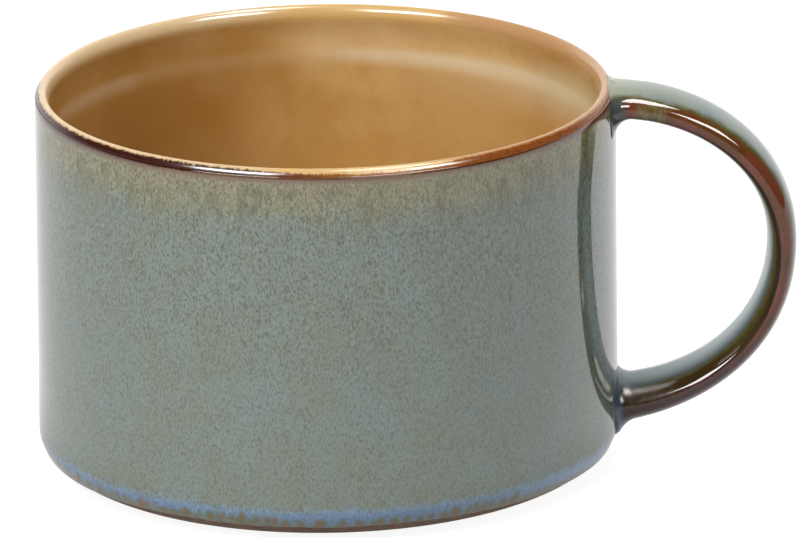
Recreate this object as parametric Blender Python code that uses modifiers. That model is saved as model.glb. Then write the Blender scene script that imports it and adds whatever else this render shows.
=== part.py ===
"""A stoneware coffee cup: turned body, luted strap handle and its coats of glaze."""

import math

import bmesh
import bpy
from mathutils import Vector
from mathutils.geometry import interpolate_bezier

MM = 0.001

# Cup, outside, with its glaze on
HEIGHT = 53.9 * MM
RIM_RADIUS = 40.0 * MM
BASE_RADIUS = 40.3 * MM
CORNER_WIDTH = 8.0 * MM
CORNER_HEIGHT = 5.3 * MM

# Clay wall, floor and foot
LIP_WALL = 1.1 * MM
LOWER_WALL = 2.5 * MM
FLOOR = 4.0 * MM
INNER_CORNER = 6.0 * MM
FOOT_WIDTH = 3.6 * MM
RECESS = 1.4 * MM
RECESS_CORNER = 1.0 * MM

# Coats of glaze
OUTER_GLAZE = 0.5 * MM
LINER_GLAZE = 0.4 * MM
HANDLE_GLAZE = 0.4 * MM
BASE_GLAZE = 0.4 * MM
LAP_ANGLE = math.radians(66)

# Handle, with its glaze on: a strap bent to a loop, thicker at its two roots
HANDLE_REACH = 65.3 * MM
HANDLE_WIDTH = 10.5 * MM
HANDLE_THICKNESS = 3.95 * MM
UPPER_ROOT_THICKNESS = 4.45 * MM
LOWER_ROOT_THICKNESS = 5.45 * MM
HANDLE_TOP_DROP = 0.8 * MM
LOWER_ROOT_HEIGHT = 7.85 * MM
BEND_HEIGHT = 31.05 * MM
UPPER_ARM_PULL = 11.8 * MM
UPPER_BEND_PULL = 12.3 * MM
LOWER_BEND_PULL = 13.05 * MM
LOWER_ARM_PULL = 13.3 * MM
LOWER_ARM_RISE = math.radians(6.3)
ROOT_BLEND = 0.5
SECTION_POWER = 2.8

# Slip joints: a pad under each handle end, with a fillet round it
SLIP_PAD = 0.6 * MM
UPPER_FILLET_OUTSIDE = 0.25 * MM
UPPER_FILLET_INSIDE = 2.4 * MM
LOWER_FILLET_OUTSIDE = 1.6 * MM
LOWER_FILLET_INSIDE = 2.4 * MM
FILLET_SIDE = 2.0 * MM
CLEARANCE = 0.3 * MM

# Fineness of the round shapes
TURN_STEPS = 60
LIP_STEPS = 8
CORNER_STEPS = 6
GLAZED_CORNER_STEPS = 2
INNER_STEPS = 5
SECTION_POINTS = 20
ARM_POINTS = 12
FILLET_STEPS = 4

# Sizes that follow from those above
CLAY_RIM_RADIUS = RIM_RADIUS - OUTER_GLAZE
CLAY_BASE_RADIUS = BASE_RADIUS - OUTER_GLAZE
LIP_RADIUS = LIP_WALL / 2
LIP_CENTRE = (CLAY_RIM_RADIUS - LIP_RADIUS, HEIGHT - LINER_GLAZE - LIP_RADIUS)
CORNER_CENTRE = (CLAY_BASE_RADIUS - CORNER_WIDTH, CORNER_HEIGHT)
FOOT_INNER_RADIUS = CLAY_BASE_RADIUS - CORNER_WIDTH - FOOT_WIDTH
FLOOR_HEIGHT = RECESS + FLOOR
INNER_CENTRE = (CLAY_BASE_RADIUS - LOWER_WALL - INNER_CORNER, FLOOR_HEIGHT + INNER_CORNER)
UPPER_ROOT_HEIGHT = HEIGHT - HANDLE_TOP_DROP - UPPER_ROOT_THICKNESS / 2
CORE_HALF_WIDTH = HANDLE_WIDTH / 2 - HANDLE_GLAZE
HANDLE_SEAT = CLEARANCE + SLIP_PAD + CLEARANCE
# The origin lies under the middle of the cup and its handle
CUP_AXIS_X = (BASE_RADIUS - HANDLE_REACH) / 2


def clear_scene():
    for old in list(bpy.data.objects):
        bpy.data.objects.remove(old, do_unlink=True)


def new_collection(name):
    group = bpy.data.collections.new(name)
    bpy.context.scene.collection.children.link(group)
    return group


def new_material(name, colour, roughness):
    material = bpy.data.materials.new(name)
    material.use_nodes = True
    shader = material.node_tree.nodes["Principled BSDF"]
    shader.inputs["Base Color"].default_value = (*colour, 1.0)
    shader.inputs["Roughness"].default_value = roughness
    shader.inputs["Metallic"].default_value = 0.0
    return material


def new_object(name, mesh, group, material=None):
    mesh.shade_smooth()
    mesh.set_sharp_from_angle(angle=math.radians(35))
    if material:
        mesh.materials.append(material)
    piece = bpy.data.objects.new(name, mesh)
    piece.parent = cup_axis
    group.objects.link(piece)
    return piece


def arc(centre, width, height, start, end, steps):
    """Points of an elliptical arc, angles up from the outward direction."""
    turn = (end - start) / steps
    angles = [start + turn * step for step in range(steps + 1)]
    return [(centre[0] + width * math.cos(a), centre[1] + height * math.sin(a)) for a in angles]


def turned(name, profile, group, material, closed=False):
    """A profile of (radius, height) points turned about the cup's axis."""
    mesh = bpy.data.meshes.new(name)
    shape = bmesh.new()
    points = [shape.verts.new((radius, 0.0, height)) for radius, height in profile]
    for above, below in zip(points, points[1:]):
        shape.edges.new((above, below))
    if closed:
        shape.edges.new((points[-1], points[0]))
    shape.to_mesh(mesh)
    shape.free()
    piece = new_object(name, mesh, group, material)
    screw = piece.modifiers.new("Turn", 'SCREW')
    screw.steps = TURN_STEPS
    screw.render_steps = TURN_STEPS
    screw.use_merge_vertices = True
    screw.merge_threshold = 0.00001
    return piece


def loft(name, rings, group, material=None):
    """A closed skin over rings of points, as a grid rolled up and welded."""
    mesh = bpy.data.meshes.new(name)
    shape = bmesh.new()
    bmesh.ops.create_grid(shape, x_segments=SECTION_POINTS, y_segments=len(rings) - 1, size=1.0)
    shape.verts.ensure_lookup_table()
    row = SECTION_POINTS + 1
    for index, vertex in enumerate(shape.verts):
        vertex.co = rings[index // row][index % row % SECTION_POINTS]
    bmesh.ops.remove_doubles(shape, verts=shape.verts, dist=0.000001)
    bmesh.ops.triangulate(shape, faces=shape.faces, quad_method='SHORT_EDGE')
    bmesh.ops.recalc_face_normals(shape, faces=shape.faces)
    shape.to_mesh(mesh)
    shape.free()
    return new_object(name, mesh, group, material)


def lip_arc(extra, start, end):
    """The lip's round from the inside (180 degrees) to the outside (0), grown by extra."""
    steps = max(2, round(LIP_STEPS * abs(end - start) / math.pi))
    return arc(LIP_CENTRE, LIP_RADIUS + extra, LIP_RADIUS + extra, start, end, steps)


def corner_arc(extra, steps):
    """The rounded base corner from the wall down, grown by extra."""
    end = -math.pi / 2 * steps / CORNER_STEPS
    return arc(CORNER_CENTRE, CORNER_WIDTH + extra, CORNER_HEIGHT + extra, 0.0, end, steps)


def inner_arc(extra):
    """The round between floor and inner wall, from the floor up, thinned by extra."""
    radius = INNER_CORNER - extra
    return arc(INNER_CENTRE, radius, radius, -math.pi / 2, 0.0, INNER_STEPS)


def clay_radius(height):
    """Outer radius of the clay at a height."""
    if height > LIP_CENTRE[1]:
        rise = min(1.0, (height - LIP_CENTRE[1]) / LIP_RADIUS)
        return LIP_CENTRE[0] + LIP_RADIUS * math.sqrt(1 - rise ** 2)
    if height < CORNER_HEIGHT:
        fall = (CORNER_HEIGHT - height) / CORNER_HEIGHT
        return CORNER_CENTRE[0] + CORNER_WIDTH * math.sqrt(1 - fall ** 2)
    share = (height - CORNER_HEIGHT) / (LIP_CENTRE[1] - CORNER_HEIGHT)
    return CLAY_BASE_RADIUS + (CLAY_RIM_RADIUS - CLAY_BASE_RADIUS) * share


def make_body():
    """Turned clay: floor, wall and rounded lip, and a foot ring round a shallow recess."""
    profile = [(0.0, FLOOR_HEIGHT)]
    profile += inner_arc(0.0)
    profile += lip_arc(0.0, math.pi, LAP_ANGLE)
    profile += lip_arc(0.0, LAP_ANGLE, 0.0)[1:]
    profile += corner_arc(0.0, CORNER_STEPS)
    profile += [(FOOT_INNER_RADIUS, 0.0)]
    profile += [(FOOT_INNER_RADIUS, RECESS - RECESS_CORNER)]
    profile += [(FOOT_INNER_RADIUS - RECESS_CORNER, RECESS)]
    profile += [(0.0, RECESS)]
    stoneware = new_material("stoneware", (0.33, 0.22, 0.14), 0.75)
    turned("stoneware_body", profile, cup_parts, stoneware)


def make_liner_glaze():
    """Glaze poured inside, over the floor and wall and lapping over the lip."""
    skin = [(0.0, FLOOR_HEIGHT + LINER_GLAZE)]
    skin += inner_arc(LINER_GLAZE)
    skin += lip_arc(LINER_GLAZE, math.pi, LAP_ANGLE)
    clay = [(0.0, FLOOR_HEIGHT)]
    clay += inner_arc(0.0)
    clay += lip_arc(0.0, math.pi, LAP_ANGLE)
    ochre_glaze = new_material("ochre_glaze", (0.40, 0.23, 0.08), 0.2)
    turned("liner_glaze", skin + clay[::-1], cup_parts, ochre_glaze)


def make_outer_glaze():
    """Glaze over the outside, from the lip to a rounded edge above the bare foot."""
    skin = lip_arc(OUTER_GLAZE, LAP_ANGLE, 0.0)
    skin += corner_arc(OUTER_GLAZE, GLAZED_CORNER_STEPS)
    clay = lip_arc(0.0, LAP_ANGLE, 0.0)
    clay += corner_arc(0.0, GLAZED_CORNER_STEPS)
    edge_radius = (skin[-1][0] + clay[-1][0]) / 2 - OUTER_GLAZE / 4
    edge_height = (skin[-1][1] + clay[-1][1]) / 2 - OUTER_GLAZE / 2
    coat = turned("outer_glaze", skin + [(edge_radius, edge_height)] + clay[::-1], cup_parts,
                  blue_grey_glaze, closed=True)
    for cutter in (joint_window(UPPER), joint_window(LOWER)):
        window = coat.modifiers.new("Window", 'BOOLEAN')
        window.operation = 'DIFFERENCE'
        window.solver = 'EXACT'
        window.object = cutter


def make_base_glaze():
    """Glaze in the recess inside the foot ring."""
    edge = FOOT_INNER_RADIUS - RECESS_CORNER
    profile = [(0.0, RECESS), (edge, RECESS), (edge - BASE_GLAZE, RECESS - BASE_GLAZE)]
    profile += [(0.0, RECESS - BASE_GLAZE)]
    turned("base_glaze", profile, cup_parts, blue_grey_glaze)


class Root:
    """One end of the handle, where it is luted to the wall."""

    def __init__(self, name, height, thickness, slope, outward, fillet_outside, fillet_inside):
        self.name = name
        self.height = height
        self.core_half = thickness / 2 - HANDLE_GLAZE
        self.slope = slope
        self.outward = outward
        self.fillet_outside = fillet_outside
        self.fillet_inside = fillet_inside

    def fillet(self, across, along):
        """Fillet size at a point of the section, given its two unit offsets."""
        face = self.fillet_outside if across > 0 else self.fillet_inside
        return face * across ** 2 + FILLET_SIDE * along ** 2

    def ring(self, grow, lift, scale=1.0):
        """The core's outline, grown and scaled, laid on the clay wall and lifted off it."""
        points = []
        for across, along in section_points():
            size = self.fillet(across, along)
            outline_grow = grow(size) if callable(grow) else grow
            outline_lift = lift(size) if callable(lift) else lift
            y = (CORE_HALF_WIDTH + outline_grow) * superellipse(along, across) * scale
            rise = (self.core_half + outline_grow) * superellipse(across, along) * scale
            z = self.height + self.slope * outline_lift + self.outward * rise
            points.append(Vector((math.sqrt(clay_radius(z) ** 2 - y ** 2) + outline_lift, y, z)))
        return points

    def cap(self, grow, lift):
        """Rings that close an outline over the curved wall, from its middle outwards."""
        return [self.ring(grow, lift, 0.0), self.ring(grow, lift, 0.5), self.ring(grow, lift)]

    def collar_top(self, size):
        """Height of the fillet's upper edge over the clay."""
        return OUTER_GLAZE + size


def section_points():
    """Unit directions round the handle's section: across the strap, and along its width."""
    turns = [2 * math.pi * (point + 0.5) / SECTION_POINTS for point in range(SECTION_POINTS)]
    return [(math.cos(turn), math.sin(turn)) for turn in turns]


def superellipse(part, other):
    """One coordinate of the section's rounded outline in a unit direction."""
    size = (abs(part) ** SECTION_POWER + abs(other) ** SECTION_POWER) ** (1 / SECTION_POWER)
    return part / size


UPPER = Root("upper_slip_joint", UPPER_ROOT_HEIGHT, UPPER_ROOT_THICKNESS, 0.0, 1.0,
             UPPER_FILLET_OUTSIDE, UPPER_FILLET_INSIDE)
LOWER = Root("lower_slip_joint", LOWER_ROOT_HEIGHT, LOWER_ROOT_THICKNESS,
             math.tan(LOWER_ARM_RISE), -1.0, LOWER_FILLET_OUTSIDE, LOWER_FILLET_INSIDE)


def handle_path():
    """Centreline of the strap: two Bezier arms meeting at the outer bend."""
    upper = Vector((clay_radius(UPPER.height), 0.0, UPPER.height))
    bend = Vector((HANDLE_REACH - HANDLE_THICKNESS / 2, 0.0, BEND_HEIGHT))
    lower = Vector((clay_radius(LOWER.height), 0.0, LOWER.height))
    rise = Vector((math.cos(LOWER_ARM_RISE), 0.0, math.sin(LOWER_ARM_RISE)))
    upper_arm = interpolate_bezier(upper, upper + Vector((UPPER_ARM_PULL, 0.0, 0.0)),
                                   bend + Vector((0.0, 0.0, UPPER_BEND_PULL)), bend, ARM_POINTS)
    lower_arm = interpolate_bezier(bend, bend - Vector((0.0, 0.0, LOWER_BEND_PULL)),
                                   lower + rise * LOWER_ARM_PULL, lower, ARM_POINTS)
    return upper_arm + lower_arm[1:]


def core_half_thickness(share):
    """Half thickness of the clay strap at a share of its length from the upper root."""
    near_upper = max(0.0, 1 - share / ROOT_BLEND)
    near_lower = max(0.0, 1 - (1 - share) / ROOT_BLEND)
    thickness = HANDLE_THICKNESS
    thickness += (UPPER_ROOT_THICKNESS - HANDLE_THICKNESS) * near_upper ** 2
    thickness += (LOWER_ROOT_THICKNESS - HANDLE_THICKNESS) * near_lower ** 2
    return thickness / 2 - HANDLE_GLAZE


def strap_rings(grow):
    """Rings square to the centreline, between the two joints' fillets."""
    path = handle_path()
    tallest = max(UPPER_FILLET_INSIDE, LOWER_FILLET_INSIDE, FILLET_SIDE)
    start = CLAY_BASE_RADIUS + OUTER_GLAZE + tallest + CLEARANCE * 2
    rings = []
    for index in range(1, len(path) - 1):
        if path[index].x < start:
            continue
        tangent = (path[index + 1] - path[index - 1]).normalized()
        normal = Vector((-tangent.z, 0.0, tangent.x))
        half = core_half_thickness(index / (len(path) - 1)) + grow
        ring = []
        for across, along in section_points():
            side = Vector((0.0, (CORE_HALF_WIDTH + grow) * superellipse(along, across), 0.0))
            ring.append(path[index] + normal * half * superellipse(across, along) + side)
        rings.append(ring)
    return rings


def sleeve_end(root, grow):
    """The ring where the handle's glaze stops, just clear of the joint's fillet."""
    return root.ring(grow, lambda size: root.collar_top(size) + CLEARANCE)


def make_handle():
    """Clay strap whose two ends are cut to saddles that follow the wall."""
    rings = UPPER.cap(0.0, HANDLE_SEAT)
    rings += [sleeve_end(UPPER, 0.0)]
    rings += strap_rings(0.0)
    rings += [sleeve_end(LOWER, 0.0)]
    rings += LOWER.cap(0.0, HANDLE_SEAT)[::-1]
    clay = new_material("handle_clay", (0.33, 0.22, 0.14), 0.75)
    loft("handle", rings, cup_parts, clay)


def make_handle_glaze():
    """Sleeve of glaze over the strap, from one joint's fillet to the other's."""
    outside = [sleeve_end(UPPER, HANDLE_GLAZE)] + strap_rings(HANDLE_GLAZE)
    outside += [sleeve_end(LOWER, HANDLE_GLAZE)]
    inside = [sleeve_end(UPPER, 0.0)] + strap_rings(0.0) + [sleeve_end(LOWER, 0.0)]
    loft("handle_glaze", outside + inside[::-1] + outside[:1], cup_parts, blue_grey_glaze)


def make_slip_joint(root):
    """Slip squeezed out round the handle's end: a pad with a socket and a hollow fillet."""
    def bead_grow(turn):
        return lambda size: HANDLE_GLAZE + size * (1 - math.sin(turn))

    def bead_lift(turn):
        return lambda size: OUTER_GLAZE + size * (1 - math.cos(turn))

    rings = root.cap(bead_grow(0.0), CLEARANCE)
    for step in range(FILLET_STEPS + 1):
        turn = math.pi / 2 * step / FILLET_STEPS
        rings += [root.ring(bead_grow(turn), bead_lift(turn))]
    rings += [root.ring(CLEARANCE, root.collar_top)]
    rings += root.cap(CLEARANCE, CLEARANCE + SLIP_PAD)[::-1]
    slip = new_material(root.name, (0.20, 0.21, 0.19), 0.35)
    loft(root.name, rings, cup_parts, slip)


def joint_window(root):
    """Cutter for the opening in the outer glaze round a joint, run out past its edge."""
    depth = CORNER_WIDTH
    run_out = root.outward * HANDLE_WIDTH
    rings = []
    for shift in (-depth, depth):
        ring = root.ring(lambda size: HANDLE_GLAZE + size + CLEARANCE, 0.0)
        for point in ring:
            point.x += shift
            if (point.z - root.height) * root.outward > 0:
                point.z += run_out
        middle = sum(ring, Vector()) / SECTION_POINTS
        rings.append((ring, [middle] * SECTION_POINTS))
    (near, near_middle), (far, far_middle) = rings
    cutter = loft(root.name + "_window", [near_middle, near, far, far_middle], cutters)
    cutter.hide_render = True
    cutter.display_type = 'WIRE'
    return cutter


clear_scene()
cup_parts = new_collection("coffee_cup")
cutters = new_collection("cutters")
cup_axis = bpy.data.objects.new("cup_axis", None)
cup_axis.location.x = CUP_AXIS_X
cup_parts.objects.link(cup_axis)
blue_grey_glaze = new_material("blue_grey_glaze", (0.21, 0.29, 0.28), 0.25)
make_body()
make_handle()
make_slip_joint(UPPER)
make_slip_joint(LOWER)
make_liner_glaze()
make_outer_glaze()
make_handle_glaze()
make_base_glaze()
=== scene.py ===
import bisect
import math

import bpy
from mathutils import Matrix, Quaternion, Vector
from mathutils.geometry import interpolate_bezier


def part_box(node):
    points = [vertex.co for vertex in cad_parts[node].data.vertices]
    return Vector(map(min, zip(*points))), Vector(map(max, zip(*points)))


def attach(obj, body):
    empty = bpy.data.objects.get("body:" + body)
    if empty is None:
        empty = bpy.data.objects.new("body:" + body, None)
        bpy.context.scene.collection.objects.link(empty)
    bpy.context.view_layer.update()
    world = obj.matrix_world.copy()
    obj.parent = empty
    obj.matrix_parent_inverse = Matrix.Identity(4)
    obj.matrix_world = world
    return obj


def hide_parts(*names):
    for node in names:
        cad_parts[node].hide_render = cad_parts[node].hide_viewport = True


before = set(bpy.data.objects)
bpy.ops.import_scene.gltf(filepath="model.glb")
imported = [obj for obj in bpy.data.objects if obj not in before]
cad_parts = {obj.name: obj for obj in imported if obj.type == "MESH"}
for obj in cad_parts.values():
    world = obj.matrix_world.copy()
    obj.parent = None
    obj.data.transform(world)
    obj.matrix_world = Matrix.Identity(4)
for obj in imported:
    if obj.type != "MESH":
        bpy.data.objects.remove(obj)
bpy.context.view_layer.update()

# The clay cup: a stoneware cylinder turned on the wheel, with a rounded lip, a soft base corner and a
# foot ring round a shallow recess. Only the foot stays bare after glazing, so its clay shows there.
MM = 0.001
clay_low, clay_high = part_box("stoneware_body")
coat_low, coat_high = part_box("outer_glaze")
liner_low, liner_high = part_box("liner_glaze")
AXIS_X = (clay_low.x + clay_high.x) / 2
RIM_Z = liner_high.z
BASE_RADIUS = (coat_high.y - coat_low.y) / 2
WALL_TAPER = 0.3 * MM
RIM_RADIUS = BASE_RADIUS - WALL_TAPER
OUTER_COAT = 0.5 * MM
LINER_COAT = 0.4 * MM
LIP_CLAY = 1.1 * MM
LIP_ROUND = 1.3 * MM
LOWER_WALL = 2.5 * MM
CORNER_WIDTH = 8.0 * MM
CORNER_HEIGHT = 5.3 * MM
INNER_CORNER = 6.0 * MM
FLOOR_Z = liner_low.z
FOOT_WIDTH = 3.6 * MM
FOOT_EDGE = 0.35 * MM
FOOT_SWELL = 0.35 * MM
RECESS = 1.4 * MM
RECESS_ROUND = 2 * FOOT_EDGE
SIDE_SWELL = 0.42 * MM
SWELL_HEIGHT = 46 * MM
SWELL_REACH = 8 * MM
TURN_STEPS = 192
WALL_RINGS = 16

LIP_RADIUS = RIM_RADIUS - OUTER_COAT - LIP_CLAY / 2
LIP_TOP = RIM_Z - LINER_COAT
CORNER_CENTRE = (BASE_RADIUS - OUTER_COAT - CORNER_WIDTH, CORNER_HEIGHT)
INNER_CENTRE = (BASE_RADIUS - OUTER_COAT - LOWER_WALL - INNER_CORNER, FLOOR_Z + INNER_CORNER)
FOOT_OUTER = CORNER_CENTRE[0]
FOOT_INNER = FOOT_OUTER - FOOT_WIDTH


def arc(centre, width, height, start, end, steps):
    """Points (radius, height) of an elliptical arc, its angles in degrees up from outwards."""
    angles = [math.radians(start + (end - start) * step / steps) for step in range(steps + 1)]
    return [(centre[0] + width * math.cos(a), centre[1] + height * math.sin(a)) for a in angles]


def run(start, end, steps):
    """Points between two profile points, without the ends."""
    shares = [step / steps for step in range(1, steps)]
    return [(start[0] + (end[0] - start[0]) * s, start[1] + (end[1] - start[1]) * s) for s in shares]


def lip_arc(grow, start, end, steps):
    """The lip's long round, from the inside (180 degrees) over the top to the outside (0)."""
    centre = (LIP_RADIUS, LIP_TOP - LIP_ROUND)
    return arc(centre, LIP_CLAY / 2 + grow, LIP_ROUND + grow, start, end, steps)


def corner_arc(grow, end, steps):
    """The base corner from the wall (0 degrees) down towards the foot (-90)."""
    return arc(CORNER_CENTRE, CORNER_WIDTH + grow, CORNER_HEIGHT + grow, 0, end, steps)


def inner_arc(grow, steps):
    """The round between the floor and the inner wall, from the floor up."""
    radius = INNER_CORNER - grow
    return arc(INNER_CENTRE, radius, radius, -90, 0, steps)


def turn_profile(name, profile):
    """Draws a profile beside the cup's axis and spins it into a turned piece."""
    bpy.ops.object.select_all(action='DESELECT')
    bpy.ops.mesh.primitive_plane_add(size=MM, location=(AXIS_X + profile[0][0], 0, profile[0][1]))
    piece = bpy.context.object
    piece.name = name
    bpy.ops.object.transform_apply(location=True, rotation=False, scale=False)
    bpy.ops.object.mode_set(mode='EDIT')
    bpy.ops.mesh.select_all(action='SELECT')
    bpy.ops.mesh.merge(type='CENTER')
    for here, there in zip(profile, profile[1:]):
        step = (there[0] - here[0], 0, there[1] - here[1])
        bpy.ops.mesh.extrude_region_move(TRANSFORM_OT_translate={"value": step})
    bpy.ops.mesh.select_all(action='SELECT')
    bpy.ops.mesh.spin(steps=TURN_STEPS, angle=2 * math.pi, center=(AXIS_X, 0, 0), axis=(0, 0, 1))
    bpy.ops.mesh.select_all(action='SELECT')
    bpy.ops.mesh.remove_doubles(threshold=0.001 * MM)
    bpy.ops.mesh.normals_make_consistent(inside=False)
    bpy.ops.object.mode_set(mode='OBJECT')
    bpy.ops.object.shade_smooth()
    return piece


clay_floor_round = inner_arc(0, 10)
clay_lip = lip_arc(0, 180, 0, 10)
clay_corner = arc(CORNER_CENTRE, CORNER_WIDTH + FOOT_SWELL, CORNER_HEIGHT, 0, -90, 18)
recess_centre = (FOOT_INNER - RECESS_ROUND, RECESS - RECESS_ROUND)
clay_profile = [(0, FLOOR_Z)] + clay_floor_round
clay_profile += run(clay_floor_round[-1], clay_lip[0], WALL_RINGS) + clay_lip
clay_profile += run(clay_lip[-1], clay_corner[0], WALL_RINGS) + clay_corner
clay_profile += [(FOOT_INNER + FOOT_EDGE, 0), (FOOT_INNER, FOOT_EDGE)]
clay_profile += arc(recess_centre, RECESS_ROUND, RECESS_ROUND, 0, 90, 4)
clay_profile += [(0, RECESS)]
clay_cup = turn_profile("bare_clay_cup", clay_profile)


def ease(share):
    """Goes smoothly from 0 to 1 as the share does, and no further."""
    share = min(max(share, 0), 1)
    return share * share * (3 - 2 * share)


def swell_side(piece):
    """Swells the wall a little towards the handle, as it dried, and takes the handle's roots along."""
    for vertex in piece.data.vertices:
        turn = math.atan2(vertex.co.y, vertex.co.x - AXIS_X)
        radius = math.hypot(vertex.co.y, vertex.co.x - AXIS_X)
        lean = min(1, max(0, (vertex.co.z - CORNER_HEIGHT) / (SWELL_HEIGHT - CORNER_HEIGHT)))
        fade = ease((LIP_TOP - vertex.co.z) / (LIP_TOP - SWELL_HEIGHT))
        near = min(radius / BASE_RADIUS, max(0, 1 - (radius - BASE_RADIUS) / SWELL_REACH))
        swell = SIDE_SWELL * lean * fade * near * (1 + math.cos(turn)) / 2
        vertex.co.x += swell * math.cos(turn)
        vertex.co.y += swell * math.sin(turn)


swell_side(clay_cup)
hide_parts("stoneware_body")
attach(clay_cup, "root")


class Tone:
    """A socket in a finish's node tree. Arithmetic on it adds Math nodes."""

    def __init__(self, finish, socket):
        self.finish = finish
        self.socket = socket

    def output(self, name):
        """Another output of the same node."""
        return Tone(self.finish, self.socket.node.outputs[name])

    def math(self, operation, first, second):
        """A Math node on two values."""
        return self.finish.node('ShaderNodeMath', {"operation": operation}, {0: first, 1: second})

    def __add__(self, other):
        return self.math('ADD', self, other)

    def __radd__(self, other):
        return self.math('ADD', other, self)

    def __sub__(self, other):
        return self.math('SUBTRACT', self, other)

    def __rsub__(self, other):
        return self.math('SUBTRACT', other, self)

    def __mul__(self, other):
        return self.math('MULTIPLY', self, other)

    def __rmul__(self, other):
        return self.math('MULTIPLY', other, self)

    def __truediv__(self, other):
        return self.math('DIVIDE', self, other)

    def __pow__(self, other):
        return self.math('POWER', self, other)


class Finish:
    """A procedural material: a Principled shader and the nodes that feed it."""

    def __init__(self, name, **constants):
        self.material = bpy.data.materials.new(name)
        self.material.use_nodes = True
        self.tree = self.material.node_tree
        self.shader = self.tree.nodes["Principled BSDF"]
        for socket, value in constants.items():
            self.shader.inputs[socket.replace("_", " ")].default_value = value
        # Millimetres from the cup's axis and from the surface that it stands on
        self.place = self.node('ShaderNodeMapping', {}, {
            "Vector": self.node('ShaderNodeTexCoord', output="Object"),
            "Location": (-AXIS_X / MM, 0, 0), "Scale": (1 / MM, 1 / MM, 1 / MM)})
        self.x = self.split(self.place)
        self.y = self.x.output("Y")
        self.z = self.x.output("Z")

    def node(self, kind, settings=None, sockets=None, output=0):
        """Adds a node, sets its settings, then fills or links its sockets."""
        node = self.tree.nodes.new(kind)
        for name, value in (settings or {}).items():
            setattr(node, name, value)
        for name, value in (sockets or {}).items():
            if isinstance(value, Tone):
                self.tree.links.new(value.socket, node.inputs[name])
            else:
                node.inputs[name].default_value = value
        return Tone(self, node.outputs[output])

    def feed(self, socket, tone):
        """Links a result to a socket of the shader."""
        self.tree.links.new(tone.socket, self.shader.inputs[socket])

    def split(self, vector):
        """The X of a vector, whose other outputs are Y and Z."""
        return self.node('ShaderNodeSeparateXYZ', {}, {0: vector})

    def length(self, vector):
        return self.node('ShaderNodeVectorMath', {"operation": 'LENGTH'}, {0: vector}, output="Value")

    def step(self, tone, low, high):
        """Goes smoothly from 0 at low to 1 at high, which may be the smaller."""
        return self.node('ShaderNodeMapRange', {"interpolation_type": 'SMOOTHSTEP'},
                         {"Value": tone, "From Min": low, "From Max": high})

    def clouds(self, size, stretch=1, detail=2, roughness=0.5, shift=0):
        """Noise whose blotches measure about size millimetres, and stretch times that upwards."""
        moved = self.node('ShaderNodeMapping', {}, {
            "Vector": self.place, "Location": (shift, shift, shift), "Scale": (1, 1, 1 / stretch)})
        return self.node('ShaderNodeTexNoise', {}, {
            "Vector": moved, "Scale": 1 / size, "Detail": detail, "Roughness": roughness})

    def spots(self, spacing, stretch=1, shift=0):
        """Distance in millimetres from the nearest of many scattered spots."""
        moved = self.node('ShaderNodeMapping', {}, {
            "Vector": self.place, "Location": (shift, shift, shift), "Scale": (1, 1, 1 / stretch)})
        return spacing * self.node('ShaderNodeTexVoronoi', {}, {"Vector": moved, "Scale": 1 / spacing})

    def mix(self, amount, tint, other):
        """One colour at 0 and the other at 1."""
        return self.node('ShaderNodeMix', {"data_type": 'RGBA'}, {0: amount, 6: tint, 7: other}, output=2)

    def bump(self, height, distance, strength):
        sockets = {"Height": height, "Distance": distance, "Strength": strength}
        return self.node('ShaderNodeBump', {}, sockets)


def tint(red, green, blue):
    """A colour as a screen shows it, 0 to 255, in the linear values that shaders take."""
    shares = [value / 255 for value in (red, green, blue)]
    linear = [s / 12.92 if s <= 0.04045 else ((s + 0.055) / 1.055) ** 2.4 for s in shares]
    return (*linear, 1)


clay = Finish("bare_stoneware", Roughness=0.75, IOR=1.5)
clay_grain = clay.clouds(0.35, detail=4)
clay_smear = clay.clouds(1.6, stretch=0.12, detail=3, shift=11)
clay_tint = clay.mix(clay.step(clay_smear, 0.3, 0.7), tint(122, 94, 76), tint(172, 140, 116))
clay_tint = clay.mix(clay.step(clay_grain, 0.58, 0.72) * 0.6, clay_tint, tint(92, 68, 54))
clay.feed("Base Color", clay_tint)
clay.feed("Normal", clay.bump(clay_grain, 0.05 * MM, 0.5))
clay_cup.data.materials.append(clay.material)

# The handle: a clay strap bent to a loop and luted to the wall with slip at both ends. It is dipped
# with the cup, so glaze fills the joints to smooth hollows and runs thin and brown on its edges.
strap_low, strap_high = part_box("handle_glaze")
HANDLE_REACH = strap_high.x - AXIS_X
HANDLE_WIDTH = strap_high.y - strap_low.y
HANDLE_THICKNESS = 4.03 * MM
UPPER_ROOT_THICKNESS = 4.4 * MM
LOWER_ROOT_THICKNESS = 6.49 * MM
ROOT_BLEND = 0.63
HANDLE_TOP_DROP = 0.26 * MM
UPPER_ROOT_Z = RIM_Z - HANDLE_TOP_DROP - UPPER_ROOT_THICKNESS / 2
LOWER_ROOT_Z = 8.06 * MM
BEND_Z = 31.06 * MM
UPPER_ARM_PULL = 12.01 * MM
UPPER_BEND_PULL = 12.36 * MM
LOWER_BEND_PULL = 12.83 * MM
LOWER_ARM_PULL = 13.27 * MM
LOWER_ARM_RISE = math.radians(6.2)
PATH_POINTS = 240
OUTER_POWER = 2.2
UPPER_INNER_POWER = 3
LOWER_INNER_POWER = 1.6
UPPER_WIDEST = -0.2
LOWER_WIDEST = 0.1
SECTION_START = 0.2
SECTION_SPAN = 0.4
SECTION_POINTS = 72
STRAP_RINGS = 64
UPPER_HOLLOW = (0.35 * MM, 2.6 * MM)
LOWER_HOLLOW = (2.2 * MM, 2.8 * MM)
SIDE_HOLLOW = (2.8 * MM, 1.1 * MM)
HOLLOW_REACH = 2.8 * MM
HOLLOW_RINGS = 10
SEAT_REACH = 2.5 * HOLLOW_REACH
SEAT_LOWEST = 0.5 * MM
ROOT_DEPTH = 0.6 * MM
SUNK = 0.12 * MM


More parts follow.
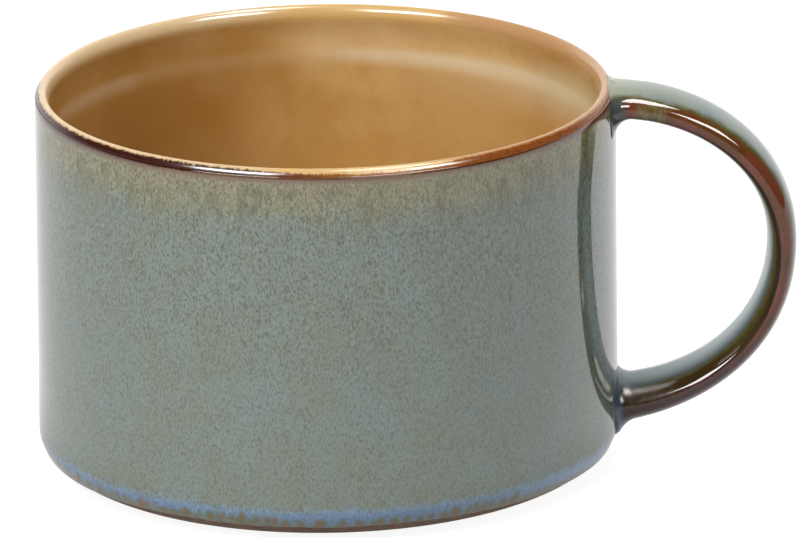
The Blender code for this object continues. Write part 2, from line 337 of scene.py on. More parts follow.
def wall_radius(height):
    """Radius of the glazed wall at a height."""
    if height < CORNER_HEIGHT:
        fall = min(1, (CORNER_HEIGHT - height) / (CORNER_HEIGHT + OUTER_COAT))
        return CORNER_CENTRE[0] + (CORNER_WIDTH + OUTER_COAT) * math.sqrt(1 - fall ** 2)
    share = min(1, (height - CORNER_HEIGHT) / (LIP_TOP - LIP_ROUND - CORNER_HEIGHT))
    return BASE_RADIUS + (RIM_RADIUS - BASE_RADIUS) * share


def handle_path():
    """Centreline of the strap: two Bezier arms that meet at the outer bend."""
    upper = Vector((AXIS_X + wall_radius(UPPER_ROOT_Z), 0, UPPER_ROOT_Z))
    bend = Vector((AXIS_X + HANDLE_REACH - HANDLE_THICKNESS / 2, 0, BEND_Z))
    lower = Vector((AXIS_X + wall_radius(LOWER_ROOT_Z), 0, LOWER_ROOT_Z))
    rise = Vector((math.cos(LOWER_ARM_RISE), 0, math.sin(LOWER_ARM_RISE)))
    upper_arm = interpolate_bezier(upper, upper + Vector((UPPER_ARM_PULL, 0, 0)),
                                   bend + Vector((0, 0, UPPER_BEND_PULL)), bend, PATH_POINTS)
    lower_arm = interpolate_bezier(bend, bend - Vector((0, 0, LOWER_BEND_PULL)),
                                   lower + rise * LOWER_ARM_PULL, lower, PATH_POINTS)
    return upper_arm + lower_arm[1:]


path = handle_path()
ways = [0]
for here, there in zip(path, path[1:]):
    ways.append(ways[-1] + (there - here).length)
strap_length = ways[-1]


def path_place(way):
    """Point of the strap's centreline at a length along it, and its heading, from 0 to minus a half turn."""
    near = min(max(bisect.bisect(ways, way), 3), len(path) - 3)
    ahead = path[near + 2] - path[near - 3]
    heading = math.atan2(ahead.z, ahead.x)
    share = (way - ways[near - 1]) / (ways[near] - ways[near - 1])
    return path[near - 1].lerp(path[near], share), heading if heading < 0.5 else heading - 2 * math.pi


def strap_thickness(share):
    """Thickness at a share of the strap's length, from the upper root to the lower."""
    near_upper = max(0, 1 - share / ROOT_BLEND) ** 2
    near_lower = max(0, 1 - (1 - share) / ROOT_BLEND) ** 2
    thickness = HANDLE_THICKNESS
    thickness += (UPPER_ROOT_THICKNESS - HANDLE_THICKNESS) * near_upper
    return thickness + (LOWER_ROOT_THICKNESS - HANDLE_THICKNESS) * near_lower


def hollow(away, radius):
    """How far a joint's round hollow stands out from the strap, at a distance from the wall."""
    if away >= radius:
        return 0
    return radius - math.sqrt(radius ** 2 - (radius - max(0, away)) ** 2)


def strap_ring(way):
    """Centre, heading, width and thickness of the glazed strap at a length along it."""
    centre, heading = path_place(way)
    from_upper, from_lower = way, strap_length - way
    outer = hollow(from_upper, UPPER_HOLLOW[0]) + hollow(from_lower, LOWER_HOLLOW[0])
    inner = hollow(from_upper, UPPER_HOLLOW[1]) + hollow(from_lower, LOWER_HOLLOW[1])
    side = hollow(from_upper, SIDE_HOLLOW[0]) + hollow(from_lower, SIDE_HOLLOW[1])
    outward = Vector((-math.sin(heading), 0, math.cos(heading)))
    thickness = strap_thickness(way / strap_length) + outer + inner
    return centre + outward * (outer - inner) / 2, heading, HANDLE_WIDTH + 2 * side, thickness


class Strap:
    """The open end of a strap that is drawn out ring by ring in edit mode."""

    def __init__(self, name, centre, heading, width, thickness):
        self.centre = centre
        self.heading = heading
        self.width = width
        self.thickness = thickness
        bpy.ops.object.select_all(action='DESELECT')
        bpy.ops.mesh.primitive_circle_add(vertices=SECTION_POINTS, radius=1)
        self.piece = bpy.context.object
        self.piece.name = name
        for vertex in self.piece.data.vertices:
            vertex.co = centre + Vector((0, vertex.co.y * width / 2, vertex.co.x * thickness / 2))
        bpy.ops.object.mode_set(mode='EDIT')
        bpy.ops.mesh.select_all(action='SELECT')
        bpy.ops.transform.rotate(value=heading, orient_axis='Y', center_override=centre)

    def draw(self, centre, heading, width, thickness):
        """Extrudes the end ring to a new centre, heading and size."""
        bpy.ops.mesh.extrude_region_move(TRANSFORM_OT_translate={"value": centre - self.centre})
        bpy.ops.transform.rotate(value=-self.heading, orient_axis='Y', center_override=centre)
        scale = (1, width / self.width, thickness / self.thickness)
        bpy.ops.transform.resize(value=scale, center_override=centre)
        bpy.ops.transform.rotate(value=heading, orient_axis='Y', center_override=centre)
        self.centre = centre
        self.heading = heading
        self.width = width
        self.thickness = thickness

    def finish(self):
        """Closes both ends and makes the faces point outwards."""
        bpy.ops.mesh.select_all(action='DESELECT')
        bpy.ops.mesh.select_non_manifold()
        bpy.ops.mesh.edge_face_add()
        bpy.ops.mesh.select_all(action='SELECT')
        bpy.ops.mesh.normals_make_consistent(inside=False)
        bpy.ops.object.mode_set(mode='OBJECT')
        bpy.ops.object.shade_smooth()
        return self.piece


def strap_way(point):
    """Length along the strap at which a point stands."""
    flat = Vector((point.x, 0, point.z))
    near = min(range(len(path)), key=lambda index: (path[index] - flat).length_squared)
    ahead = path[min(near + 1, len(path) - 1)] - path[max(near - 1, 0)]
    return ways[near] + (flat - path[near]).dot(ahead.normalized())


def press_section(piece):
    """Presses the round strap to its section: square under the upper arm, sharp on top of the lower."""
    for vertex in piece.data.vertices:
        way = strap_way(vertex.co)
        centre, heading, width, thickness = strap_ring(way)
        outward = Vector((-math.sin(heading), 0, math.cos(heading)))
        across = (vertex.co - centre).dot(outward) / (thickness / 2)
        lower = ease((way / strap_length - SECTION_START) / SECTION_SPAN)
        widest = UPPER_WIDEST + (LOWER_WIDEST - UPPER_WIDEST) * lower
        power = UPPER_INNER_POWER + (LOWER_INNER_POWER - UPPER_INNER_POWER) * lower
        reach = 1 + widest
        if across > widest:
            power = OUTER_POWER
            reach = 1 - widest
        level = min(1, abs(across - widest) / reach)
        vertex.co.y = math.copysign(width / 2 * (1 - level ** power) ** (1 / power), vertex.co.y)


def seat_on_wall(piece):
    """Bends the strap's two ends to the round of the wall, less and less away from it."""
    for vertex in piece.data.vertices:
        reach = vertex.co.x - AXIS_X - BASE_RADIUS
        hold = max(0, 1 - max(0, reach) / SEAT_REACH) ** 2
        radius = wall_radius(max(vertex.co.z, SEAT_LOWEST))
        root = UPPER_ROOT_Z if vertex.co.z > BEND_Z else LOWER_ROOT_Z
        wall = math.sqrt(radius ** 2 - vertex.co.y ** 2)
        vertex.co.x += (wall - wall_radius(root)) * hold


root_ways = [-ROOT_DEPTH]
for ring in range(1, HOLLOW_RINGS):
    root_ways.append(HOLLOW_REACH * (1 - math.cos(math.radians(90) * ring / HOLLOW_RINGS)))
free_length = strap_length - 2 * HOLLOW_REACH
ring_ways = root_ways + [HOLLOW_REACH + free_length * ring / STRAP_RINGS for ring in range(STRAP_RINGS + 1)]
ring_ways += [strap_length - way for way in root_ways[::-1]]
strap = Strap("glazed_handle", *strap_ring(ring_ways[0]))
for way in ring_ways[1:]:
    strap.draw(*strap_ring(way))
handle = strap.finish()
press_section(handle)
seat_on_wall(handle)
swell_side(handle)
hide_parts("handle", "handle_glaze", "upper_slip_joint", "lower_slip_joint")
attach(handle, "root")


def note_place(piece):
    """Keeps on each point its way along the strap in mm, and across it from -1 inside to 1 outside."""
    kept = piece.data.attributes.new("strap_place", 'FLOAT_VECTOR', 'POINT')
    for vertex, note in zip(piece.data.vertices, kept.data):
        way = strap_way(vertex.co)
        centre, heading = path_place(way)
        outward = Vector((-math.sin(heading), 0, math.cos(heading)))
        half = strap_thickness(way / strap_length) / 2
        note.vector = (way / MM, vertex.co.y / (HANDLE_WIDTH / 2), (vertex.co - centre).dot(outward) / half)


note_place(handle)


def blue_grey_mottle(finish, ground, strength):
    """The fine grain of the reactive glaze: pale flecks and dark pits on its ground colour."""
    grain = finish.clouds(0.25, stretch=2, detail=3, roughness=0.65)
    flecked = finish.mix(finish.step(grain, 0.46, 0.32) * 0.6 * strength, ground, tint(136, 150, 141))
    return finish.mix(finish.step(grain, 0.48, 0.65) * strength, flecked, tint(76, 83, 62))


strap_glaze = Finish("handle_glaze", Roughness=0.06, IOR=1.5)
noted = strap_glaze.node('ShaderNodeAttribute', {"attribute_name": "strap_place"}, output="Vector")
along = strap_glaze.split(noted)
across = along.output("Z")
to_end = strap_length / MM - along
wander = strap_glaze.clouds(3, detail=4, roughness=0.6, shift=5) - 0.5
fine_wander = strap_glaze.clouds(0.8, detail=3, roughness=0.6, shift=8) - 0.5
cool = strap_glaze.step(strap_glaze.clouds(5, detail=3, shift=23), 0.38, 0.62)
strap_ground = strap_glaze.mix(cool, tint(138, 145, 135), tint(127, 140, 139))
strap_ground = strap_glaze.mix(strap_glaze.step(along, 8, 2) * 0.6, strap_ground, tint(160, 162, 138))
strap_tint = blue_grey_mottle(strap_glaze, strap_ground, 0.16)
turned = strap_glaze.step(along, 12, 30)
outer_end = 0.62 + 0.22 * strap_glaze.step(along, 14, 34)
outer_edge = outer_end - across + 0.3 * wander + 0.14 * fine_wander
inner_end = 1.25 - 0.7 * strap_glaze.step(along, 8, 42)
inner_edge = inner_end + across + 0.22 * wander + 0.14 * fine_wander
inner_face = turned * strap_glaze.step(inner_edge, 0.5, 0.1)
# Painted reflection: the inner face is painted pale at its inner edge, where the white backdrop would show
# at a grazing angle, and darkens to its own grey-blue towards the brown edge.
inner_sheen_fade = strap_glaze.step(inner_end + across, -0.42, 0)
inner_sheen_tint = strap_glaze.mix(inner_sheen_fade, tint(164, 172, 176), tint(64, 73, 76))
strap_tint = strap_glaze.mix(inner_face * 0.9, strap_tint, inner_sheen_tint)
brown = strap_glaze.step(outer_edge, -0.2, 0.1) * strap_glaze.step(inner_edge, -0.14, 0.08)
strap_tint = strap_glaze.mix(brown, strap_tint, tint(84, 78, 38))
# The redder flank patches are partly random glaze colour and partly painted reflection: they lean towards
# the underside, where the bright floor would show.
sheen_underside = across * (2 * turned - 1)
rust = strap_glaze.step(strap_glaze.clouds(4.5, detail=3, shift=17) + 0.16 * sheen_underside, 0.44, 0.62)
flank_tint = strap_glaze.mix(rust, tint(94, 54, 22), tint(112, 56, 38))
flank_tint = strap_glaze.mix(strap_glaze.step(fine_wander, 0.05, 0.2) * 0.5, flank_tint, tint(70, 48, 24))
low_flank = strap_glaze.mix(strap_glaze.step(wander, -0.08, 0.1), tint(66, 44, 46), tint(84, 48, 44))
low_flank = strap_glaze.mix(strap_glaze.step(to_end + 3 * wander, 9, 5) * 0.6, low_flank, tint(52, 46, 36))
flank_tint = strap_glaze.mix(strap_glaze.step(to_end + 8 * wander, 28, 14) * 0.85, flank_tint, low_flank)
hair = strap_glaze.clouds(0.5, stretch=3, detail=2, shift=31)
patch_edge = along + 2.5 * fine_wander
olive_patch = strap_glaze.step(patch_edge, 2.6, 3.8) * strap_glaze.step(patch_edge, 8.4, 6.4)
olive_patch = olive_patch * (0.3 + 0.5 * strap_glaze.step(hair, 0.4, 0.6))
flank_tint = strap_glaze.mix(olive_patch, flank_tint, tint(112, 108, 72))
flank = strap_glaze.step(outer_edge, 0.04, 0.24) * strap_glaze.step(inner_edge, 0.1, 0.36)
strap_tint = strap_glaze.mix(flank, strap_tint, flank_tint)
# Painted dark reflection: the inner half of the flank in the bend is painted dark olive, as it would mirror
# the shaded cup wall, darker still towards the lower root.
olive_reflection_zone = strap_glaze.step(along, 26, 40) * strap_glaze.step(inner_edge, 0.0, 0.12)
olive_reflection_zone = olive_reflection_zone * strap_glaze.step(inner_edge, 0.6, 0.44)
olive_reflection_tint = strap_glaze.mix(strap_glaze.step(to_end, 24, 12), tint(70, 58, 26), tint(56, 38, 16))
strap_tint = strap_glaze.mix(olive_reflection_zone * 0.9, strap_tint, olive_reflection_tint)
# Painted dark reflection: a dark line along the inner half of the flank, from the upper arm round the bend,
# where the flank would mirror the cup wall and the dim room.
dark_reflection_way = across + 0.72 - 0.6 * strap_glaze.step(along, 14, 44) + 0.2 * fine_wander
dark_reflection_line = strap_glaze.step(dark_reflection_way, -0.24, -0.1) * strap_glaze.step(dark_reflection_way, 0.18, 0.08)
dark_reflection_line = dark_reflection_line * strap_glaze.step(along, 8, 16) * strap_glaze.step(to_end, 12, 30)
strap_tint = strap_glaze.mix(dark_reflection_line * 0.8, strap_tint, tint(38, 34, 28))
green_line = (1 - turned) * strap_glaze.step(across, -0.72, -0.92)
strap_tint = strap_glaze.mix(green_line * 0.7, strap_tint, tint(56, 56, 34))
upper_joint = strap_glaze.step(along + 0.8 * fine_wander, 2.2, 0.8) * strap_glaze.step(across, 0.85, 0.35)
strap_tint = strap_glaze.mix(upper_joint * 0.85, strap_tint, tint(68, 82, 82))
lower_joint = strap_glaze.step(to_end + 0.6 * fine_wander, 0.75, 0.2)
strap_tint = strap_glaze.mix(lower_joint * 0.85, strap_tint, tint(76, 102, 126))
olive_fleck = strap_glaze.step(fine_wander, -0.02, 0.1) * strap_glaze.step(to_end + 2 * wander, 11, 7)
olive_fleck = olive_fleck * strap_glaze.step(inner_edge, 0.1, 0.25) * strap_glaze.step(inner_edge, 0.85, 0.6)
strap_tint = strap_glaze.mix(olive_fleck * 0.5, strap_tint, tint(92, 76, 36))
strap_glaze.feed("Base Color", strap_tint)
matte_root = strap_glaze.step(to_end + 1.5 * wander, 11, 4)
strap_glaze.feed("Roughness", 0.06 + 0.19 * matte_root)
handle.data.materials.append(strap_glaze.material)

# The liner glaze: an ochre glaze poured into the cup and out again, so it coats the floor and the
# wall and laps over the lip, thin and golden on top and dark where it meets the outer glaze.
LAP_ANGLE = 20
LEDGE_DEPTH = 4.6 * MM
LEDGE_SPREAD = 0.55 * LEDGE_DEPTH
LEDGE_SIZE = 0.35 * MM
LINER_RINGS = 40


def ledge(height):
    """How far the thrown wall is hollowed just below the lip."""
    away = (RIM_Z - height - LEDGE_DEPTH) / LEDGE_SPREAD
    return LEDGE_SIZE * math.exp(-away ** 2)


liner_lip = lip_arc(LINER_COAT, 180, LAP_ANGLE, 14)
liner_round = inner_arc(LINER_COAT, 12)
back_lip = lip_arc(-SUNK, 180, LAP_ANGLE, 14)
back_round = inner_arc(-SUNK, 12)
liner_profile = [(0, FLOOR_Z + LINER_COAT)] + liner_round
for radius, height in run(liner_round[-1], liner_lip[0], LINER_RINGS):
    liner_profile.append((radius + ledge(height), height))
liner_profile += liner_lip + back_lip[::-1]
liner_profile += run(back_lip[0], back_round[-1], WALL_RINGS)
liner_profile += back_round[::-1] + [(0, FLOOR_Z - SUNK)]
liner = turn_profile("liner_glaze_coat", liner_profile)
swell_side(liner)
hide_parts("liner_glaze")
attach(liner, "root")


def lip_break(finish, below):
    """The lip's colours over the glaze below: golden on top, maroon to orange where it breaks outside."""
    depth = RIM_Z / MM - finish.z
    flat = finish.node('ShaderNodeVectorMath', {"operation": 'MULTIPLY'}, {0: finish.place, 1: (1, 1, 0)})
    radius = finish.length(flat)
    outside = finish.step(radius, LIP_RADIUS / MM + 0.1, LIP_RADIUS / MM + 0.5)
    ragged = finish.clouds(0.9, detail=4, roughness=0.65, shift=3) - 0.5
    hairs = finish.clouds(0.35, stretch=4, detail=2, shift=6) - 0.5
    drift = finish.clouds(9, detail=2, shift=21) - 0.5
    gilded = finish.step(finish.x + 8 * drift, -12, -4)
    orange = finish.step(finish.x + 8 * drift + 4 * ragged, 15, 22)
    hairy = finish.step(finish.x + 8 * drift, -6, 6)
    line_tint = finish.mix(gilded, tint(56, 20, 8), tint(98, 44, 10))
    line_tint = finish.mix(hairy, line_tint, tint(148, 92, 32))
    line_low = 1.36 - 0.34 * finish.step(finish.x + 6 * drift, -26, -14) - 0.06 * hairy
    halo = outside * finish.step(depth + 0.3 * ragged, 2.3, 1.3) * 0.9
    broken = finish.mix(halo, below, tint(106, 70, 48))
    line = outside * finish.step(depth + 0.3 * ragged + 0.5 * hairs - line_low, 0.12, -0.12)
    broken = finish.mix(line, broken, line_tint)
    fleck = finish.step(finish.clouds(0.6, detail=3, shift=9), 0.5, 0.68)
    rust = finish.mix(fleck * 0.6, tint(138, 72, 14), tint(98, 48, 10))
    rust = finish.mix(finish.step(depth + 0.2 * ragged, 0.95, 1.2), rust, tint(76, 34, 10))
    broken = finish.mix(orange * outside * finish.step(depth + 0.3 * ragged, 1.5, 1.25), broken, rust)
    gold = finish.mix(gilded, tint(212, 184, 142), tint(208, 170, 110))
    gold = finish.mix(orange, gold, tint(184, 142, 98))
    gold_low = 0.2 + 0.22 * gilded + 0.24 * hairy - 0.56 * orange
    outer_top = finish.step(depth + 0.3 * ragged + 0.7 * hairs - gold_low, 0.16, -0.12)
    inner_top = finish.step(depth + 0.4 * ragged, 2.6, 0.9)
    matte = finish.step(finish.x, 1, 5) * finish.step(finish.x, 13, 11)
    matte = matte * finish.step(finish.y, 0, -10) * finish.step(depth, 2.2, 1.6)
    gloss = finish.shader.inputs["Roughness"].default_value
    finish.feed("Roughness", gloss + (0.36 - gloss) * matte)
    return finish.mix(outer_top * outside + inner_top * (1 - outside), broken, gold)


ochre = Finish("ochre_liner_glaze", Roughness=0.18, IOR=1.7)
depth = RIM_Z / MM - ochre.z
ochre_cloud = ochre.clouds(14, detail=3, roughness=0.55, shift=4)
ochre_fine = ochre.clouds(1.2, detail=3)
ochre_tint = ochre.mix(ochre.step(ochre_cloud, 0.35, 0.65), tint(178, 136, 76), tint(196, 160, 104))
ochre_tint = ochre.mix(ochre.step(ochre_fine, 0.5, 0.75) * 0.2, ochre_tint, tint(164, 120, 62))
# Painted shade: the wall inside is darker on the left, which the key light from the left does not reach, and
# a little darker on the right below the ring; this fades out down the wall before the floor.
side_shade_fade = ochre.step(depth, 44, 28)
left_shade_edge = ochre.x + 14 * ochre.step(depth, 6.5, 3)
left_painted_shade = ochre.step(left_shade_edge, 6, -16) * side_shade_fade
ochre_tint = ochre.mix(left_painted_shade * 0.62, ochre_tint, tint(146, 99, 34))
right_painted_shade = ochre.step(ochre.x, 4, 14) * ochre.step(depth, 6.5, 10) * side_shade_fade
ochre_tint = ochre.mix(right_painted_shade * 0.45, ochre_tint, tint(164, 120, 64))
# Painted light and shade round the thrown ring below the lip: a lighter band across the middle of the back
# wall and a faint darker one, 2 to 5 mm below the rim.
ring_shade = ochre.step(depth, 2.2, 3.2) * ochre.step(depth, 5.2, 4.0)
ring_light = ochre.step(ochre.x, -12, 2) * ochre.step(ochre.x, 22, 8) * ochre.step(depth, 1.6, 4)
ochre_tint = ochre.mix(ring_light * ochre.step(depth, 8, 6) * 0.45, ochre_tint, tint(214, 184, 138))
ochre_tint = ochre.mix(ring_shade * 0.08, ochre_tint, tint(154, 108, 52))
# Painted sheen: a pale grey band 6 to 9 mm below the rim, strongest right of the middle, for the white light
# mirrored in the wall there.
ring_sheen_band = ochre.step(depth, 5.6, 7.0) * ochre.step(depth, 9.2, 7.2)
ring_sheen_place = 0.1 + 0.45 * ochre.step(ochre.x, -4, 7) + 0.22 * ochre.step(ochre.x, -24, -28)
ochre_tint = ochre.mix(ring_sheen_band * ring_sheen_place, ochre_tint, tint(212, 196, 168))
# Painted sheen: the pale band runs lower on the right, and the far right of the wall is paler still, where
# the light mirrors in it.
right_sheen_patch = ochre.step(ochre.x, 6, 30) * ochre.step(depth, 14, 7) * ochre.step(depth, 4.5, 7)
ochre_tint = ochre.mix(right_sheen_patch * 0.4, ochre_tint, tint(204, 186, 152))
far_right_sheen = ochre.step(ochre.x, 26, 34) * ochre.step(depth, 2.4, 5) * ochre.step(depth, 12, 8)
ochre_tint = ochre.mix(far_right_sheen * 0.4, ochre_tint, tint(190, 182, 148))
ochre.feed("Base Color", lip_break(ochre, ochre_tint))
liner.data.materials.append(ochre.material)

# The outer glaze: a blue-grey reactive glaze that the cup is dipped in. It breaks brown at the lip,
# runs in fine streaks and specks down the wall, and pools to a blue band above the wiped foot.
COAT_START = LAP_ANGLE + 6
LAP_STEP = 0.02 * MM
GLAZE_END = -27
BEAD = 0.06 * MM
EDGE_WAVE = 0.05

coat_profile = lip_arc(OUTER_COAT - LAP_STEP, COAT_START, 0, 6)
coat_profile += run(coat_profile[-1], corner_arc(OUTER_COAT, GLAZE_END, 12)[0], WALL_RINGS)
coat_profile += corner_arc(OUTER_COAT, GLAZE_END + 5, 9)
for turn, grow in ((3, BEAD), (1, BEAD), (-0.6, -0.05 * MM), (-1.8, -0.2 * MM), (-2.4, -OUTER_COAT - SUNK)):
    coat_profile += corner_arc(OUTER_COAT + grow, GLAZE_END + turn, 1)[1:]
coat_profile += corner_arc(-SUNK, GLAZE_END, 10)[::-1]
coat_profile += run(corner_arc(-SUNK, 0, 1)[0], lip_arc(-SUNK, 0, 0, 1)[0], WALL_RINGS)
coat_profile += lip_arc(-SUNK, 0, COAT_START, 6)
coat_profile += coat_profile[:1]
coat = turn_profile("outer_glaze_coat", coat_profile)


def wave_lower_edge(piece):
    """Slides the glaze up and down round the base corner, so that its lower edge runs unevenly."""
    for vertex in piece.data.vertices:
        turn = math.atan2(vertex.co.y, vertex.co.x - AXIS_X)
        radius = math.hypot(vertex.co.y, vertex.co.x - AXIS_X)
        side = (radius - CORNER_CENTRE[0]) / CORNER_WIDTH
        drop = (vertex.co.z - CORNER_CENTRE[1]) / CORNER_HEIGHT
        if drop < 0:
            wave = 0.5 * math.sin(7 * turn + 1) + 0.3 * math.sin(17 * turn + 2.2) + 0.2 * math.sin(31 * turn)
            slope = math.atan2(drop, side) * (1 + EDGE_WAVE * wave)
            away = math.hypot(drop, side)
            radius = CORNER_CENTRE[0] + CORNER_WIDTH * away * math.cos(slope)
            height = CORNER_CENTRE[1] + CORNER_HEIGHT * away * math.sin(slope)
            vertex.co = (AXIS_X + radius * math.cos(turn), radius * math.sin(turn), height)


wave_lower_edge(coat)
swell_side(coat)
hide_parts("outer_glaze")
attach(coat, "root")

blue_grey = Finish("blue_grey_glaze", Roughness=0.06, IOR=1.8)
depth = RIM_Z / MM - blue_grey.z
patch = blue_grey.clouds(7, stretch=1.6, detail=4, roughness=0.65, shift=7)
ground = blue_grey.mix(blue_grey.step(patch, 0.35, 0.65), tint(110, 126, 120), tint(110, 119, 103))
khaki_edge = 5 * (blue_grey.clouds(5, stretch=2, shift=19) - 0.5)
khaki = blue_grey.step(depth + khaki_edge, 9.5, 3.5)
ground = blue_grey.mix(khaki * 0.95, ground, tint(136, 126, 84))
wall_tint = blue_grey_mottle(blue_grey, ground, 0.72 + 0.5 * blue_grey.step(depth, 36, 12))
speck_edge = 0.5 * (blue_grey.clouds(0.3, detail=2, shift=29) - 0.5)
speck = blue_grey.step(blue_grey.spots(0.85, stretch=2, shift=13) + speck_edge, 0.26, 0.14)
speck_place = blue_grey.step(blue_grey.clouds(4.5, detail=2, shift=27), 0.42, 0.58)
speck_height = blue_grey.step(depth, 36, 20) * blue_grey.step(depth, 4, 9)
wall_tint = blue_grey.mix(speck * speck_place * (0.15 + 0.6 * speck_height), wall_tint, tint(80, 80, 46))
grain = blue_grey.clouds(0.25, stretch=2, detail=3, roughness=0.65) - 0.5
fur = blue_grey.step(blue_grey.clouds(0.3, stretch=7, detail=2, shift=15) + 0.5 * grain, 0.46, 0.62)
streak = blue_grey.step(blue_grey.clouds(2.6, stretch=2.5, detail=4, roughness=0.68, shift=45), 0.47, 0.6)
fur_height = blue_grey.step(depth, 1.9, 3.2) * blue_grey.step(depth + khaki_edge, 12, 5)
wall_tint = blue_grey.mix(fur_height * streak * (0.35 + 0.55 * fur), wall_tint, tint(76, 77, 42))
blush = blue_grey.step(blue_grey.clouds(2.2, stretch=1.5, detail=3, shift=41), 0.58, 0.74)
wall_tint = blue_grey.mix(blush * blue_grey.step(depth, 7, 2.5) * 0.2, wall_tint, tint(122, 86, 58))
run_edge = blue_grey.clouds(1.6, detail=3, shift=33) - 0.5
pool = blue_grey.step(blue_grey.z + 1.6 * run_edge + 0.9 * grain, 5.9, 4.4)
pool_tint = blue_grey.mix(blue_grey.step(grain, 0.1, -0.15), tint(92, 126, 166), tint(122, 158, 196))
# Painted reflection: the blue band turns paler at the right, for light from the right mirrored on the
# rounding corner.
right_pool_sheen = blue_grey.step(blue_grey.x, 22, 31)
pool_tint = blue_grey.mix(right_pool_sheen * 0.6, pool_tint, tint(140, 168, 208))
wall_tint = blue_grey.mix(pool * 0.85, wall_tint, pool_tint)
girth = blue_grey.x.math('ARCTAN2', blue_grey.y, 0 - blue_grey.x) * (BASE_RADIUS / MM)
long_run = 0.9 * blue_grey.step(blue_grey.x, -9, -1) + 0.35 * blue_grey.step(blue_grey.x, 2, 8)
long_run = long_run * blue_grey.step(blue_grey.x, 20, 13)
teal = blue_grey.step(blue_grey.z + long_run + 0.9 * run_edge, 4.05, 3.45)
teal_cloud = blue_grey.step(run_edge + grain, -0.08, 0.12)
teal_tint = blue_grey.mix(teal_cloud, tint(112, 142, 136), tint(112, 114, 82))
wall_tint = blue_grey.mix(teal * 0.9, wall_tint, teal_tint)
for spacing, lowest, core, amount in ((1.75, 3.0, 0.62, 1), (1.2, 3.1, 0.4, 0.7)):
    dots = blue_grey.node('ShaderNodeTexVoronoi', {"voronoi_dimensions": '1D'},
                          {"W": girth / spacing, "Scale": 1, "Randomness": 1})
    draw = blue_grey.split(dots.output("Color"))
    shown = amount * blue_grey.step(draw.output("Z"), 0.1, 0.35) * blue_grey.step(blue_grey.x, 32, 25)
    aside = spacing * dots
    rise = 0.75 * (blue_grey.z + 0.6 * long_run - lowest - draw)
    away = (aside * aside + rise * rise) ** 0.5 + 0.3 * run_edge + 0.25 * grain
    away = away + 0.14 - 0.3 * draw.output("Y")
    olive_dot = blue_grey.step(away, 1.45 * core, 0.65 * core) * shown
    wall_tint = blue_grey.mix(olive_dot * 0.85, wall_tint, tint(102, 108, 62))
    rust_dot = blue_grey.step(away, 0.7 * core, 0.05) * shown * (0.4 + 0.6 * draw.output("Y"))
    wall_tint = blue_grey.mix(rust_dot, wall_tint, tint(150, 76, 20))
wipe = blue_grey.clouds(1.2, stretch=0.15, detail=3, shift=37)
foot_tint = blue_grey.mix(blue_grey.step(wipe, 0.35, 0.65), tint(110, 86, 66), tint(142, 118, 93))
foot_edge = blue_grey.z + 0.3 * long_run + 0.6 * run_edge
wall_tint = blue_grey.mix(blue_grey.step(foot_edge, 3.15, 2.8), wall_tint, foot_tint)
blue_grey.feed("Base Color", lip_break(blue_grey, wall_tint))
coat.data.materials.append(blue_grey.material)

# The base glaze: the recess inside the foot ring keeps its glaze when the foot is wiped, thinner and
# browner towards the ring.
recess_low, recess_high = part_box("base_glaze")
recess_radius = (recess_high.x - recess_low.x) / 2
BASE_ROUND = 0.4 * MM
base_profile = [(0, RECESS + SUNK), (recess_radius, RECESS + SUNK)]
base_profile += arc((recess_radius - BASE_ROUND, RECESS), BASE_ROUND, BASE_ROUND, 0, -90, 6)
base_profile += [(0, recess_low.z)]
base = turn_profile("base_glaze_coat", base_profile)
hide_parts("base_glaze")
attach(base, "root")

thin_glaze = Finish("thin_base_glaze", Roughness=0.12, IOR=1.5)
base_patch = thin_glaze.clouds(6, detail=4, shift=12)
base_cloud = thin_glaze.step(base_patch, 0.35, 0.65)
base_ground = thin_glaze.mix(base_cloud, tint(106, 116, 112), tint(112, 108, 88))
base_tint = blue_grey_mottle(thin_glaze, base_ground, 0.8)
ring_way = thin_glaze.length(thin_glaze.place) + 5 * (base_patch - 0.5) - recess_radius / MM
ring_edge = thin_glaze.step(ring_way, -2.5, -0.5)
thin_glaze.feed("Base Color", thin_glaze.mix(ring_edge, base_tint, tint(104, 78, 58)))
base.data.materials.append(thin_glaze.material)

# The floor of the photograph: a white paper floor that keeps a faint shadow of the cup. The camera sees it
# white, mirror images see it white with a painted shadow round the foot, and it lights the cup like grey
# paper.
FLOOR_SIZE = 8
bpy.ops.object.select_all(action='DESELECT')
bpy.ops.mesh.primitive_plane_add(size=FLOOR_SIZE, location=(0, 0, 0))
floor = bpy.context.object
floor.name = "floor"


def sight(finish):
    """What the camera sees straight, and what shows in mirror images."""
    seen = finish.node('ShaderNodeLightPath', output="Is Camera Ray")
    return seen, seen.math('MAXIMUM', seen.output("Is Glossy Ray"), seen.output("Is Transmission Ray"))


white = Finish("white_paper", Base_Color=(0.18, 0.18, 0.18, 1), Roughness=0.9, Emission_Strength=0.91)
seen, mirrored = sight(white)
from_foot = white.length(white.place) - BASE_RADIUS / MM
# Painted shadow: in mirror images the floor is dimmer close to the foot.
mirror_shadow_level = 0.607 + 0.327 * white.step(from_foot, -2, 24)
white.feed("Emission Color", seen.math('MAXIMUM', seen, mirrored * mirror_shadow_level))
floor.data.materials.append(white.material)

# The room of the photograph: dim all round, with a white backdrop that the camera and mirror images
# see behind the cup, and that fades out above it.
ROOM_LIGHT = 0.2
ROOM_SHADE = 0.05


class Surround(Finish):
    """The room round the scene: a Background shader, and directions for places."""

    def __init__(self, name):
        self.material = bpy.data.worlds.new(name)
        self.material.use_nodes = True
        self.tree = self.material.node_tree
        self.shader = self.tree.nodes["Background"]
        self.place = self.node('ShaderNodeTexCoord', output="Generated")
        self.x = self.split(self.place)
        self.y = self.x.output("Y")
        self.z = self.x.output("Z")


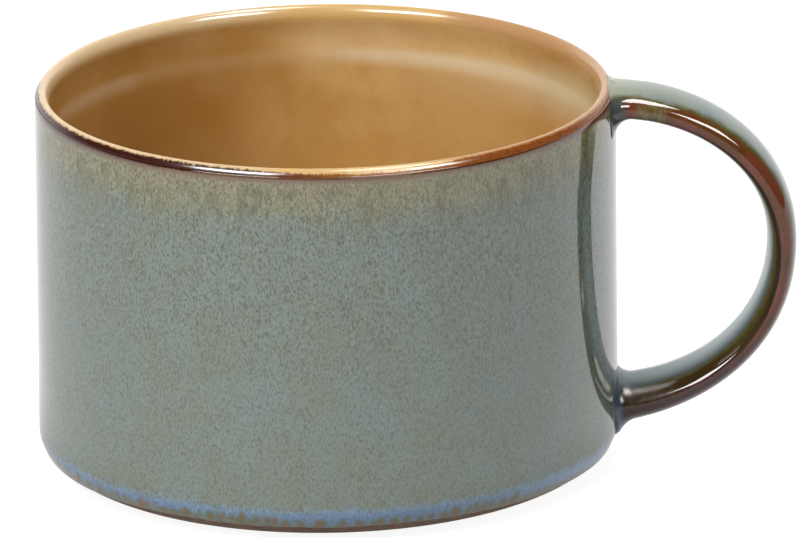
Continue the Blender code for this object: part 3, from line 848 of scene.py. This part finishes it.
room = Surround("dim_room")
bpy.context.scene.world = room.material
seen, mirrored = sight(room)
backdrop = room.step(room.z, 0.85, 0.25) * room.step(room.y, 0.35, 0.75)
mirror_light = ROOM_SHADE + (1 - ROOM_SHADE) * backdrop
room_light = ROOM_LIGHT + (mirror_light - ROOM_LIGHT) * mirrored
room.feed("Color", seen.math('MAXIMUM', seen, room_light))

# The light of the photograph: a big soft key at the front left lights the cup, with weak fills behind
# it and at its right. Three panels beside and above the camera show only as glints in the glaze.
aim = Vector((AXIS_X, 0, RIM_Z / 2))


def softbox(name, azimuth, elevation, distance, width, height, watts, glint):
    """A soft panel that faces the cup; azimuth 0 is the camera's side, positive to its right."""
    lamp = bpy.data.lights.new(name, 'AREA')
    lamp.shape = 'RECTANGLE'
    lamp.size = width
    lamp.size_y = height
    lamp.energy = watts
    holder = bpy.data.objects.new(name, lamp)
    holder.visible_diffuse = not glint
    holder.visible_glossy = glint
    bpy.context.scene.collection.objects.link(holder)
    turn, tilt = math.radians(azimuth), math.radians(elevation)
    way = Vector((math.sin(turn) * math.cos(tilt), -math.cos(turn) * math.cos(tilt), math.sin(tilt)))
    holder.location = aim + way * distance
    holder.rotation_euler = (-way).to_track_quat('-Z', 'Y').to_euler()


softbox("key_softbox", -33, 48, 1.2, 0.8, 0.8, 18, False)
softbox("back_fill", 165, 40, 1.2, 0.8, 0.8, 8, False)
softbox("right_fill", 105, 12, 1.0, 0.6, 0.4, 4, False)
softbox("left_panel", -38, 33, 0.9, 0.48, 0.22, 7.6, True)
softbox("right_panel", 42, 34.5, 0.9, 0.4, 0.19, 5.4, True)
softbox("top_panel", 56, 72, 1.2, 0.42, 0.4, 10.5, True)

# The camera of the photograph: far off on a long lens and a little above the rim, turned slightly and
# aimed beside the cup, so that the cup and its handle fill the frame.
CAMERA_DISTANCE = 1943 * MM
CAMERA_RISE = math.radians(17.73)
CAMERA_ROLL = -0.0138
FRAME_WIDTH = 800
PIXELS_PER_MM = 7.201
AIM_SIDE = 73.7 / PIXELS_PER_MM * MM
AIM_UP = 1.9 / PIXELS_PER_MM * MM
view = bpy.data.cameras.new("photograph_camera")
view.sensor_width = 36
view.lens = view.sensor_width * PIXELS_PER_MM * CAMERA_DISTANCE / MM / FRAME_WIDTH
view.clip_start = 0.05
camera = bpy.data.objects.new("photograph_camera", view)
bpy.context.scene.collection.objects.link(camera)
bpy.context.scene.camera = camera
back = Vector((0, -math.cos(CAMERA_RISE), math.sin(CAMERA_RISE)))
roll = Quaternion((0, 0, 1), CAMERA_ROLL)
facing = back.to_track_quat('Z', 'Y') @ roll
target = aim + facing @ Vector((AIM_SIDE, AIM_UP, 0))
camera.location = aim + back * CAMERA_DISTANCE
camera.rotation_euler = ((camera.location - target).to_track_quat('Z', 'Y') @ roll).to_euler()
bpy.context.scene.view_settings.view_transform = 'Standard'
